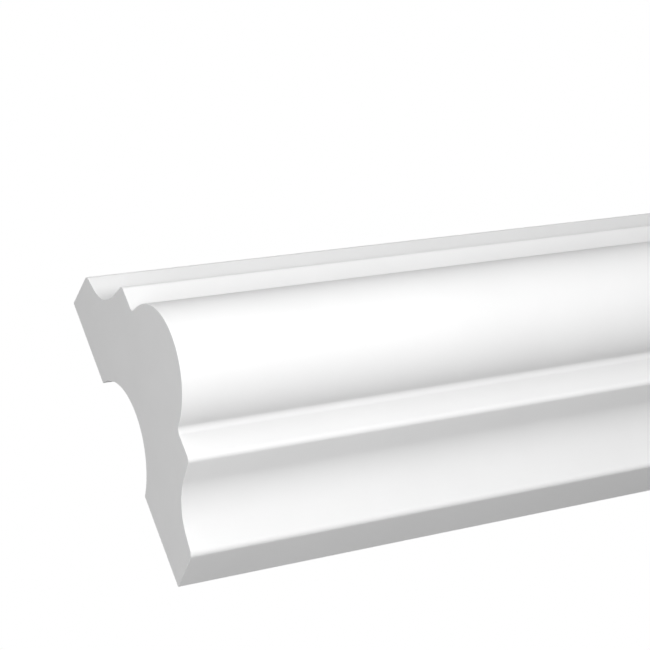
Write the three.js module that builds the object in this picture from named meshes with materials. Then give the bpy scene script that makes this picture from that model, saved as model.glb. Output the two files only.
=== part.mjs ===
// A panel moulding: a half round between two flat fillets and two coves, the same above and below.
// Its back is flat, with a shallow round groove along the middle that leaves two lands for the adhesive.
// Millimetres. +X runs along the moulding, +Z is up the wall and the moulded face looks towards -Y.
// The origin is on the back, in the middle of the lower land and halfway along the moulding.
import * as THREE from "three";

// Overall
const length = 120; // the stretch shown, cut square at both ends
const height = 50; // of the back, from edge to edge

// Outer edges
const edgeThickness = 7.95; // from the back to the edge's front corner
const edgeDraft = 5; // degrees that the edges lean in towards the front
const edgeRadius = 1;

// Fillets and the half round between them
const filletProjection = 18; // from the back
const filletWidth = 4.9;
const halfRoundWidth = 20; // where it leaves the fillets
const halfRoundRise = 9; // in front of the fillets
const noseRadius = 0.9; // of the fillets' outer corners
const quirkRadius = 1.1; // of the inner corners beside the half round

// Coves: an arc between two straight leads
const coveRadius = 7.5;
const coveOuterLean = 12; // degrees between the lead at the edge and the wall
const coveInnerLean = 14.5; // degrees between the lead at the fillet and the horizontal

// Relief groove in the back
const grooveWidth = 20;
const grooveDepth = 7.1;

// Facets of the round stretches
const facetDepth = 0.003; // that a facet may lie inside its arc
const fewestFacets = 4;

const degree = Math.PI / 180;

// The section is drawn as (projection from the back, height above the middle), upper half first.
const sectionPoint = (projection, rise) => new THREE.Vector2(projection, rise);

// Points on a circle from one bearing to another, both in radians.
function arcPoints(centre, radius, from, to) {
  const widestFacet = 2 * Math.acos(Math.max(0, 1 - facetDepth / radius));
  const facets = Math.max(fewestFacets, Math.ceil(Math.abs(to - from) / widestFacet));
  const points = [];
  for (let i = 0; i <= facets; i++) {
    const bearing = from + ((to - from) * i) / facets;
    const spoke = sectionPoint(Math.cos(bearing), Math.sin(bearing));
    points.push(spoke.multiplyScalar(radius).add(centre));
  }
  return points;
}

// A bow of this width and rise: its radius, and how far its centre lies from the top of the bow.
const bowRadius = (width, rise) => (width ** 2 / 4 + rise ** 2) / (2 * rise);

// A line through the corners, each rounded by its own radius. Where two roundings need more than the
// straight between them, both give way in proportion.
function roundedLine(corners) {
  const last = corners.length - 1;
  const gap = (i) => corners[i].at.distanceTo(corners[i + 1].at);
  const towards = (i, j) => corners[j].at.clone().sub(corners[i].at).normalize();
  const halfAngle = (i) => towards(i, i - 1).angleTo(towards(i, i + 1)) / 2;
  const reach = corners.map(({ radius }, i) =>
    i === 0 || i === last || !radius ? 0 : radius / Math.tan(halfAngle(i)),
  );
  const share = (i) => Math.min(1, gap(i) / Math.max(reach[i] + reach[i + 1], 1e-9));

  return corners.flatMap(({ at }, i) => {
    if (reach[i] === 0) return [at];
    const fitted = reach[i] * Math.min(share(i - 1), share(i));
    const radius = fitted * Math.tan(halfAngle(i));
    const start = at.clone().addScaledVector(towards(i, i - 1), fitted);
    const end = at.clone().addScaledVector(towards(i, i + 1), fitted);
    const inwards = towards(i, i - 1).add(towards(i, i + 1)).normalize();
    const centre = at.clone().addScaledVector(inwards, radius / Math.sin(halfAngle(i)));
    const from = start.clone().sub(centre).angle();
    let to = end.clone().sub(centre).angle();
    if (to - from > Math.PI) to -= 2 * Math.PI;
    if (from - to > Math.PI) to += 2 * Math.PI;
    return arcPoints(centre, radius, from, to);
  });
}

// Where two straight lines meet, each given by a point and a direction.
function meetingPoint(a, alongA, b, alongB) {
  const distance = b.clone().sub(a).cross(alongB) / alongA.cross(alongB);
  return a.clone().addScaledVector(alongA, distance);
}

// The groove, from its deepest point to its upper lip.
function grooveHalf() {
  const radius = bowRadius(grooveWidth, grooveDepth);
  const centre = sectionPoint(grooveDepth - radius, 0);
  return arcPoints(centre, radius, 0, Math.atan2(grooveWidth / 2, radius - grooveDepth));
}

// The half round from the quirk at the fillet to its crown. The quirk's arc touches both.
function halfRoundHalf() {
  const radius = bowRadius(halfRoundWidth, halfRoundRise);
  const centre = sectionPoint(filletProjection + halfRoundRise - radius, 0);
  const quirk = Math.min(quirkRadius, filletWidth / 2);
  const ahead = filletProjection + quirk - centre.x;
  const quirkCentre = sectionPoint(filletProjection + quirk, Math.sqrt((radius + quirk) ** 2 - ahead ** 2));
  const bearing = Math.atan2(quirkCentre.y, ahead);
  return [
    ...arcPoints(quirkCentre, quirk, Math.PI, Math.PI + bearing),
    ...arcPoints(centre, radius, bearing, 0).slice(1),
  ];
}

// The upper half, from the groove's deepest point over the edge and the cove to the crown.
function upperHalf() {
  const lip = sectionPoint(0, grooveWidth / 2);
  const backEdge = sectionPoint(0, height / 2);
  const frontEdge = sectionPoint(edgeThickness, height / 2 - edgeThickness * Math.tan(edgeDraft * degree));
  const nose = sectionPoint(filletProjection, halfRoundWidth / 2 + filletWidth);
  const outerLead = sectionPoint(Math.sin(coveOuterLean * degree), -Math.cos(coveOuterLean * degree));
  const innerLead = sectionPoint(-Math.cos(coveInnerLean * degree), Math.sin(coveInnerLean * degree));
  const halfRound = halfRoundHalf();
  const edgeAndCove = roundedLine([
    { at: lip, radius: 0 },
    { at: backEdge, radius: 0 },
    { at: frontEdge, radius: edgeRadius },
    { at: meetingPoint(frontEdge, outerLead, nose, innerLead), radius: coveRadius },
    { at: nose, radius: noseRadius },
    { at: halfRound[0], radius: 0 },
  ]);
  return [...grooveHalf(), ...edgeAndCove.slice(1), ...halfRound.slice(1)];
}

// The whole section in the wall's own axes: x is row Y, with the front negative, and y is row Z.
function sectionShape() {
  const middleHeight = (height + grooveWidth) / 4; // of the section above the middle of the lower land
  const upper = upperHalf();
  const lower = upper.slice(1, -1).reverse();
  const outline = [...upper, ...lower.map(({ x, y }) => sectionPoint(x, -y))];
  return new THREE.Shape(outline.map(({ x, y }) => sectionPoint(-x, y + middleHeight)));
}

const whiteMoulding = new THREE.MeshStandardMaterial({
  color: 0xf6f6f4,
  roughness: 0.5,
  metalness: 0,
});

const panelMoulding = new THREE.Mesh(
  new THREE.ExtrudeGeometry(sectionShape(), { depth: length, bevelEnabled: false }),
  whiteMoulding,
);
panelMoulding.name = "panel_moulding";
panelMoulding.rotation.set(Math.PI / 2, 0, Math.PI / 2, "ZYX"); // the extrusion turned to run along +X
panelMoulding.position.x = -length / 2;

const part = new THREE.Group();
part.add(panelMoulding);

export default part;
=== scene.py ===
import math

import bmesh
import bpy
from mathutils import Euler, Matrix, Vector


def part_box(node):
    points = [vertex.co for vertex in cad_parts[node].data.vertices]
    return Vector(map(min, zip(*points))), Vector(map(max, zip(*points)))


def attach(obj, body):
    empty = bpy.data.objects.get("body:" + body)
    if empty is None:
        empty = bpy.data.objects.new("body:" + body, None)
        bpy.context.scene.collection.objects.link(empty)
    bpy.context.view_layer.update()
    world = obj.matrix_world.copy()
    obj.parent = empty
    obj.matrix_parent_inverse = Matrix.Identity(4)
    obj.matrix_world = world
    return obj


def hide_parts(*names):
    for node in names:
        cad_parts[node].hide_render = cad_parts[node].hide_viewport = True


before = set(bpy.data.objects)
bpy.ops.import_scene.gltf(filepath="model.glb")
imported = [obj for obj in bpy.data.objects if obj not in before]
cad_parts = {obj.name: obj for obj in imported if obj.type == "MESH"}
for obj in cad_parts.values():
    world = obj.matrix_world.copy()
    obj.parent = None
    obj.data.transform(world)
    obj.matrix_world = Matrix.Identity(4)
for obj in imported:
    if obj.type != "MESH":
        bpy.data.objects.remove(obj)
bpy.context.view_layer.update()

mm = 0.001
low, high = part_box("panel_moulding")
middle = (low + high) / 2
studioScene = bpy.context.scene


def addObject(name, data):
    thing = bpy.data.objects.new(name, data)
    studioScene.collection.objects.link(thing)
    return thing


# Camera
camera = {
    "fromCorner": (-96.9, -219.0, -96.83),  # mm from the back's lower left corner
    "turn": -32.03,                         # degrees, 0 looks straight at the wall
    "tilt": 27.89,                          # degrees upwards
    "roll": -24.06,
    "lens": 100,
    "sensor": 36,
    "nearest": 10,                          # mm
}


def makeCamera():
    data = bpy.data.cameras.new("camera")
    data.lens = camera["lens"]
    data.sensor_width = camera["sensor"]
    data.clip_start = camera["nearest"] * mm
    view = addObject("camera", data)
    view.location = Vector((low.x, high.y, low.z)) + Vector(camera["fromCorner"]) * mm
    aim = Euler((math.radians(90 + camera["tilt"]), 0, math.radians(camera["turn"]))).to_matrix()
    view.rotation_euler = (aim @ Matrix.Rotation(math.radians(camera["roll"]), 3, "Z")).to_euler()
    studioScene.camera = view
    print("camera placed")


makeCamera()


# Moulding, in millimetres and degrees. Its length, height and projection are the frame's.
moulding = {
    "edgeThickness": 7.95,
    "edgeDraft": 5,
    "edgeRadius": 1,
    "filletProjection": 18,
    "filletWidth": 4.9,
    "halfRoundWidth": 20,
    "noseRadius": 0.9,
    "quirkRadius": 1.1,
    "coveRadius": 7.5,
    "coveOuterLean": 12,
    "coveInnerLean": 14.5,
    "grooveWidth": 20,
    "grooveDepth": 7.1,
    "cutArris": 0.03,    # the saw's sharp edge, just broken
    "arcStep": 2.5,      # degrees between points on a round stretch
    "fewestSteps": 4,    # on the shortest arc
    "flatStep": 1.2,     # between points on a flat stretch
    "lengthStep": 4,
    "hardCorner": 30,    # degrees; a sharper turn stays a crisp edge
    "endFacing": 0.5,    # share of a face's normal along X that makes it a sawn end
    "backFacing": 0.2,   # share towards the wall that makes it part of the back
}


def arcPoints(centre, radius, start, turn):
    steps = max(moulding["fewestSteps"], math.ceil(abs(math.degrees(turn)) / moulding["arcStep"]))
    bearings = [start + turn * i / steps for i in range(steps + 1)]
    return [centre + radius * Vector((math.cos(b), math.sin(b))) for b in bearings]


def bowRadius(width, rise):
    return (width ** 2 / 4 + rise ** 2) / (2 * rise)


def meetingPoint(a, alongA, b, alongB):
    return a + alongA * ((b - a).cross(alongB) / alongA.cross(alongB))


def roundedCorner(before, corner, after, radius):
    # the arc that touches both straights
    toBefore = (before - corner).normalized()
    toAfter = (after - corner).normalized()
    halfAngle = toBefore.angle(toAfter) / 2
    reach = radius / math.tan(halfAngle)
    centre = corner + (toBefore + toAfter).normalized() * (radius / math.sin(halfAngle))
    first = corner + toBefore * reach - centre
    last = corner + toAfter * reach - centre
    turn = math.atan2(first.cross(last), first.dot(last))
    return arcPoints(centre, radius, math.atan2(first.y, first.x), turn)


def grooveHalf():
    # from the groove's deepest point to its upper lip
    width, depth = moulding["grooveWidth"], moulding["grooveDepth"]
    radius = bowRadius(width, depth)
    return arcPoints(Vector((depth - radius, 0)), radius, 0, math.atan2(width / 2, radius - depth))


def halfRoundHalf(projection):
    # from the fillet through the quirk to the crown
    fillet = moulding["filletProjection"]
    radius = bowRadius(moulding["halfRoundWidth"], projection - fillet)
    centre = Vector((projection - radius, 0))
    quirk = moulding["quirkRadius"]
    ahead = fillet + quirk - centre.x
    quirkCentre = Vector((fillet + quirk, math.sqrt((radius + quirk) ** 2 - ahead ** 2)))
    bearing = math.atan2(quirkCentre.y, ahead)
    return arcPoints(quirkCentre, quirk, math.pi, bearing) + arcPoints(centre, radius, bearing, -bearing)[1:]


def sectionOutline():
    # (projection from the back, height above the middle), the upper half and its mirror image
    height, projection = (high.z - low.z) / mm, (high.y - low.y) / mm
    edge = moulding["edgeThickness"]
    backEdge = Vector((0, height / 2))
    frontEdge = Vector((edge, height / 2 - edge * math.tan(math.radians(moulding["edgeDraft"]))))
    nose = Vector((moulding["filletProjection"], moulding["halfRoundWidth"] / 2 + moulding["filletWidth"]))
    outerLean, innerLean = math.radians(moulding["coveOuterLean"]), math.radians(moulding["coveInnerLean"])
    outerLead = Vector((math.sin(outerLean), -math.cos(outerLean)))
    innerLead = Vector((-math.cos(innerLean), math.sin(innerLean)))
    cove = meetingPoint(frontEdge, outerLead, nose, innerLead)
    halfRound = halfRoundHalf(projection)
    upper = grooveHalf() + [backEdge]
    upper += roundedCorner(backEdge, frontEdge, cove, moulding["edgeRadius"])
    upper += roundedCorner(frontEdge, cove, nose, moulding["coveRadius"])
    upper += roundedCorner(cove, nose, halfRound[0], moulding["noseRadius"])
    upper += halfRound
    lower = [Vector((p.x, -p.y)) for p in reversed(upper[1:-1])]
    return withFlatsDivided(upper + lower)


def withFlatsDivided(outline):
    points = []
    for here, there in zip(outline, outline[1:] + outline[:1]):
        parts = max(1, round((there - here).length / moulding["flatStep"]))
        points += [here.lerp(there, i / parts) for i in range(parts)]
    return points


def drawnIn(outline, amount):
    # the same outline, moved inwards by this much all round
    moved = []
    for before, here, after in zip(outline[-1:] + outline, outline, outline[1:] + outline[:1]):
        sideA = (here - before).orthogonal().normalized()
        sideB = (after - here).orthogonal().normalized()
        moved.append(here - (sideA + sideB) * (amount / (1 + sideA.dot(sideB))))
    return moved


def makeMoulding():
    outline = sectionOutline()
    cut = drawnIn(outline, moulding["cutArris"])
    arris = moulding["cutArris"] * mm
    stretch = high.x - low.x - 2 * arris
    steps = round(stretch / mm / moulding["lengthStep"])
    rings = [(low.x, cut)]
    rings += [(low.x + arris + stretch * i / steps, outline) for i in range(steps + 1)]
    rings += [(high.x, cut)]

    mesh = bmesh.new()
    loops = []
    for x, points in rings:
        loops.append([mesh.verts.new((x, high.y - p.x * mm, middle.z + p.y * mm)) for p in points])
    for loop, further in zip(loops, loops[1:]):
        for i in range(len(outline)):
            mesh.faces.new((loop[i - 1], loop[i], further[i], further[i - 1]))
    ends = [mesh.faces.new(loops[0]), mesh.faces.new(loops[-1])]
    bmesh.ops.recalc_face_normals(mesh, faces=mesh.faces)
    slots = list(finishes)
    for face in mesh.faces:
        face.smooth = True
        if abs(face.normal.x) > moulding["endFacing"]:
            face.material_index = slots.index("sawnEnd")
        elif face.normal.y > moulding["backFacing"]:
            face.material_index = slots.index("castBack")
        else:
            face.material_index = slots.index("primedFace")
    for edge in mesh.edges:
        edge.smooth = math.degrees(edge.calc_face_angle()) < moulding["hardCorner"]
    bmesh.ops.triangulate(mesh, faces=ends)

    data = bpy.data.meshes.new("panel_moulding_run")
    mesh.to_mesh(data)
    mesh.free()
    for finish in slots:
        data.materials.append(bpy.data.materials[finish])
    run = addObject("panel_moulding_run", data)
    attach(run, "root")
    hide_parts("panel_moulding")
    print(f"moulding: {len(outline)} points round the section, {len(data.polygons)} faces")


# Finishes. Sizes and depths are in millimetres, shades are how much light comes back.
finishes = {
    "primedFace": {
        "shades": (0.895, 0.915),
        "cloudSize": 16,
        "roughness": (0.50, 0.58),
        "grainSize": 0.5,
        "grainDepth": 0.0016,
        "lineWidth": 0.9,
        "lineDepth": 0.0006,
    },
    "castBack": {
        "shades": (0.85, 0.89),
        "cloudSize": 9,
        "roughness": (0.60, 0.72),
        "grainSize": 0.8,
        "grainDepth": 0.006,
        "lineWidth": 0.6,
        "lineDepth": 0.004,
    },
    "sawnEnd": {
        "shades": (0.89, 0.91),
        "cloudSize": 6,
        "roughness": (0.66, 0.76),
        "grainSize": 0.3,
        "grainDepth": 0.003,
        "sawPitch": 1.4,
        "sawDepth": 0.0012,
        "sawWander": 1.5,
        "cellSize": 0.45,
        "cellShade": 0.985,
        "cellEdge": (0.05, 0.25),  # from a cell's middle to its rim, as shares of the cell size
    },
}
coatIor = 1.46
lineSquash = 0.012        # along the run, so that the lines are long
cloudSpan = (0.3, 0.7)    # a noise seldom leaves it
mixColors = (6, 7)        # a Mix node's two colour inputs
mixResult = 2             # and its colour output


def addNode(tree, kind, **inputs):
    node = tree.nodes.new("ShaderNode" + kind)
    for name, value in inputs.items():
        node.inputs[name].default_value = value
    return node


def addMath(tree, operation, first, second):
    # each side is an output or a plain number
    node = addNode(tree, "Math")
    node.operation = operation
    for socket, value in zip(node.inputs, (first, second)):
        if isinstance(value, bpy.types.NodeSocket):
            tree.links.new(value, socket)
        else:
            socket.default_value = value
    return node.outputs["Value"]


def newGroup(name, inputs, outputs):
    group = bpy.data.node_groups.new(name, "ShaderNodeTree")
    for direction, sockets in (("INPUT", inputs), ("OUTPUT", outputs)):
        for socketName, kind in sockets.items():
            group.interface.new_socket(socketName, in_out=direction, socket_type="NodeSocket" + kind)
    return group, group.nodes.new("NodeGroupInput"), group.nodes.new("NodeGroupOutput")


def makeFineGrain():
    # the pebbled skin that a primer dries to, as a height in millimetres
    group, given, result = newGroup(
        "fineGrain", {"Place": "Vector", "Grain size": "Float", "Depth": "Float"}, {"Height": "Float"}
    )
    noise = addNode(group, "TexNoise", Detail=3, Roughness=0.55)
    group.links.new(given.outputs["Place"], noise.inputs["Vector"])
    group.links.new(addMath(group, "DIVIDE", 1, given.outputs["Grain size"]), noise.inputs["Scale"])
    height = addMath(group, "MULTIPLY", noise.outputs["Fac"], given.outputs["Depth"])
    group.links.new(height, result.inputs["Height"])


def makeDragLines():
    # faint lines along the run, from the mould or the die, as a height in millimetres
    group, given, result = newGroup(
        "dragLines", {"Place": "Vector", "Line width": "Float", "Depth": "Float"}, {"Height": "Float"}
    )
    squashed = addNode(group, "Mapping", Scale=(lineSquash, 1, 1))
    noise = addNode(group, "TexNoise", Detail=2, Roughness=0.5)
    group.links.new(given.outputs["Place"], squashed.inputs["Vector"])
    group.links.new(squashed.outputs["Vector"], noise.inputs["Vector"])
    group.links.new(addMath(group, "DIVIDE", 1, given.outputs["Line width"]), noise.inputs["Scale"])
    height = addMath(group, "MULTIPLY", noise.outputs["Fac"], given.outputs["Depth"])
    group.links.new(height, result.inputs["Height"])


def makeCloudyCoat():
    # a slow drift in how white and how matt the coat is
    group, given, result = newGroup(
        "cloudyCoat",
        {
            "Place": "Vector",
            "Cloud size": "Float",
            "Dark shade": "Float",
            "Light shade": "Float",
            "Smoothest": "Float",
            "Roughest": "Float",
        },
        {"Color": "Color", "Roughness": "Float"},
    )
    noise = addNode(group, "TexNoise", Detail=4, Roughness=0.6)
    group.links.new(given.outputs["Place"], noise.inputs["Vector"])
    group.links.new(addMath(group, "DIVIDE", 1, given.outputs["Cloud size"]), noise.inputs["Scale"])
    spans = (("Dark shade", "Light shade", "Color"), ("Smoothest", "Roughest", "Roughness"))
    for least, most, outcome in spans:
        drift = addNode(group, "MapRange")
        drift.inputs["From Min"].default_value, drift.inputs["From Max"].default_value = cloudSpan
        group.links.new(noise.outputs["Fac"], drift.inputs["Value"])
        group.links.new(given.outputs[least], drift.inputs["To Min"])
        group.links.new(given.outputs[most], drift.inputs["To Max"])
        group.links.new(drift.outputs["Result"], result.inputs[outcome])


def placeGroup(tree, name, place, values):
    node = tree.nodes.new("ShaderNodeGroup")
    node.node_tree = bpy.data.node_groups[name]
    for socket, value in values.items():
        node.inputs[socket].default_value = value
    tree.links.new(place, node.inputs["Place"])
    return node


def startMaterial(name):
    # a matt white with the coat and the grain that every face has; the rest is added by each finish
    finish = finishes[name]
    material = bpy.data.materials.new(name)
    material.use_nodes = True
    tree = material.node_tree
    shader = tree.nodes["Principled BSDF"]
    shader.inputs["IOR"].default_value = coatIor
    where = addNode(tree, "TexCoord")
    inMillimetres = addNode(tree, "Mapping", Scale=(1 / mm, 1 / mm, 1 / mm))
    tree.links.new(where.outputs["Object"], inMillimetres.inputs["Vector"])
    place = inMillimetres.outputs["Vector"]
    darkest, lightest = finish["shades"]
    smoothest, roughest = finish["roughness"]
    coat = placeGroup(tree, "cloudyCoat", place, {
        "Cloud size": finish["cloudSize"],
        "Dark shade": darkest,
        "Light shade": lightest,
        "Smoothest": smoothest,
        "Roughest": roughest,
    })
    grain = placeGroup(tree, "fineGrain", place, {
        "Grain size": finish["grainSize"],
        "Depth": finish["grainDepth"],
    })
    tree.links.new(coat.outputs["Roughness"], shader.inputs["Roughness"])
    return finish, tree, shader, place, coat.outputs["Color"], grain.outputs["Height"]


def finishMaterial(tree, shader, color, height):
    bump = addNode(tree, "Bump", Distance=mm)
    tree.links.new(height, bump.inputs["Height"])
    tree.links.new(bump.outputs["Normal"], shader.inputs["Normal"])
    tree.links.new(color, shader.inputs["Base Color"])


def makeMouldedSkin(name):
    # the primed face and the bare back differ only in their values
    finish, tree, shader, place, color, height = startMaterial(name)
    lines = placeGroup(tree, "dragLines", place, {
        "Line width": finish["lineWidth"],
        "Depth": finish["lineDepth"],
    })
    finishMaterial(tree, shader, color, addMath(tree, "ADD", height, lines.outputs["Height"]))


def makeSawnEnd():
    # fine saw lines across the cut, and the foam's closed cells as slightly darker specks
    finish, tree, shader, place, color, height = startMaterial("sawnEnd")
    saw = addNode(tree, "TexWave", Scale=1 / finish["sawPitch"], Distortion=finish["sawWander"], Detail=2)
    saw.bands_direction = "Z"
    tree.links.new(place, saw.inputs["Vector"])
    marks = addMath(tree, "MULTIPLY", saw.outputs["Fac"], finish["sawDepth"])
    cells = addNode(tree, "TexVoronoi", Scale=1 / finish["cellSize"])
    tree.links.new(place, cells.inputs["Vector"])
    speck = addNode(tree, "MapRange")
    speck.inputs["From Min"].default_value, speck.inputs["From Max"].default_value = finish["cellEdge"]
    speck.inputs["To Min"].default_value = finish["cellShade"]
    speck.inputs["To Max"].default_value = 1
    tree.links.new(cells.outputs["Distance"], speck.inputs["Value"])
    speckled = addNode(tree, "Mix", Factor=1)
    speckled.data_type = "RGBA"
    speckled.blend_type = "MULTIPLY"
    for socket, source in zip(mixColors, (color, speck.outputs["Result"])):
        tree.links.new(source, speckled.inputs[socket])
    finishMaterial(tree, shader, speckled.outputs[mixResult], addMath(tree, "ADD", height, marks))


def makeFinishes():
    makeFineGrain()
    makeDragLines()
    makeCloudyCoat()
    makeMouldedSkin("primedFace")
    makeMouldedSkin("castBack")
    makeSawnEnd()
    print("finishes mixed")


makeFinishes()
makeMoulding()


# Studio, in millimetres and degrees
studio = {
    "aim": (-20, -15, 17),  # all lights look at the near stretch of the moulding
    "ambient": 0.172,
    "floorDrop": 650,       # below the moulding's lower edge
    "floorRadius": 5800,
    "floorSides": 96,
    "floorShade": 0.25,
    "floorGlow": 0.68,
    "floorRoughness": 0.9,
}
lights = {
    # around: from straight ahead towards the cut end's side; upwards: above level
    "key": {"around": 14, "upwards": -18.5, "distance": 240, "width": 122, "watts": 0.353},
    "leftFill": {"around": 69, "upwards": 45, "distance": 1200, "width": 1000, "watts": 2.2},
    "topFill": {"around": 0, "upwards": 38, "distance": 1200, "width": 1000, "watts": 3.3},
    "lowFill": {"around": 56, "upwards": -27, "distance": 850, "width": 600, "watts": 2.95},
    # for the back, the far end and the top, which the camera doesn't see
    "backFill": {"around": -137, "upwards": 16, "distance": 1200, "width": 1000, "watts": 11.5},
}


def makeFloor():
    # wide and pale, well below; it neither shades nor lights the moulding
    mesh = bmesh.new()
    radius = studio["floorRadius"] * mm
    bmesh.ops.create_circle(mesh, cap_ends=True, segments=studio["floorSides"], radius=radius)
    data = bpy.data.meshes.new("floor")
    mesh.to_mesh(data)
    mesh.free()
    floor = addObject("floor", data)
    floor.location = (middle.x, middle.y, low.z - studio["floorDrop"] * mm)
    floor.visible_diffuse = False
    floor.visible_glossy = False
    floor.visible_shadow = False
    paint = bpy.data.materials.new("paleFloor")
    paint.use_nodes = True
    shader = paint.node_tree.nodes["Principled BSDF"]
    shade = studio["floorShade"]
    shader.inputs["Base Color"].default_value = (shade, shade, shade, 1)
    shader.inputs["Roughness"].default_value = studio["floorRoughness"]
    shader.inputs["Emission Color"].default_value = (1, 1, 1, 1)
    shader.inputs["Emission Strength"].default_value = studio["floorGlow"]
    data.materials.append(paint)


def makeLights():
    aim = Vector(studio["aim"]) * mm
    for name, light in lights.items():
        data = bpy.data.lights.new(name, "AREA")
        data.shape = "DISK"
        data.size = light["width"] * mm
        data.energy = light["watts"]
        lamp = addObject(name, data)
        away = Vector((0, -light["distance"] * mm, 0))
        away.rotate(Euler((math.radians(-light["upwards"]), 0, math.radians(-light["around"]))))
        lamp.location = aim + away
        lamp.rotation_euler = (aim - lamp.location).to_track_quat("-Z", "Y").to_euler()
        lamp.visible_camera = False


def makeWorld():
    # pure white where the camera looks past the moulding, much softer as a light
    world = bpy.data.worlds.new("studio")
    studioScene.world = world
    world.use_nodes = True
    tree = world.node_tree
    tree.nodes.clear()
    seen = addNode(tree, "Background", Color=(1, 1, 1, 1))
    ambient = addNode(tree, "Background", Color=(1, 1, 1, 1), Strength=studio["ambient"])
    path = addNode(tree, "LightPath")
    choice = addNode(tree, "MixShader")
    output = addNode(tree, "OutputWorld")
    tree.links.new(path.outputs["Is Camera Ray"], choice.inputs["Fac"])
    tree.links.new(ambient.outputs["Background"], choice.inputs[1])
    tree.links.new(seen.outputs["Background"], choice.inputs[2])
    tree.links.new(choice.outputs["Shader"], output.inputs["Surface"])
    studioScene.view_settings.view_transform = "Standard"
    studioScene.cycles.diffuse_bounces = 0  # the light falls straight on the moulding


makeFloor()
makeLights()
makeWorld()
print("studio lit")
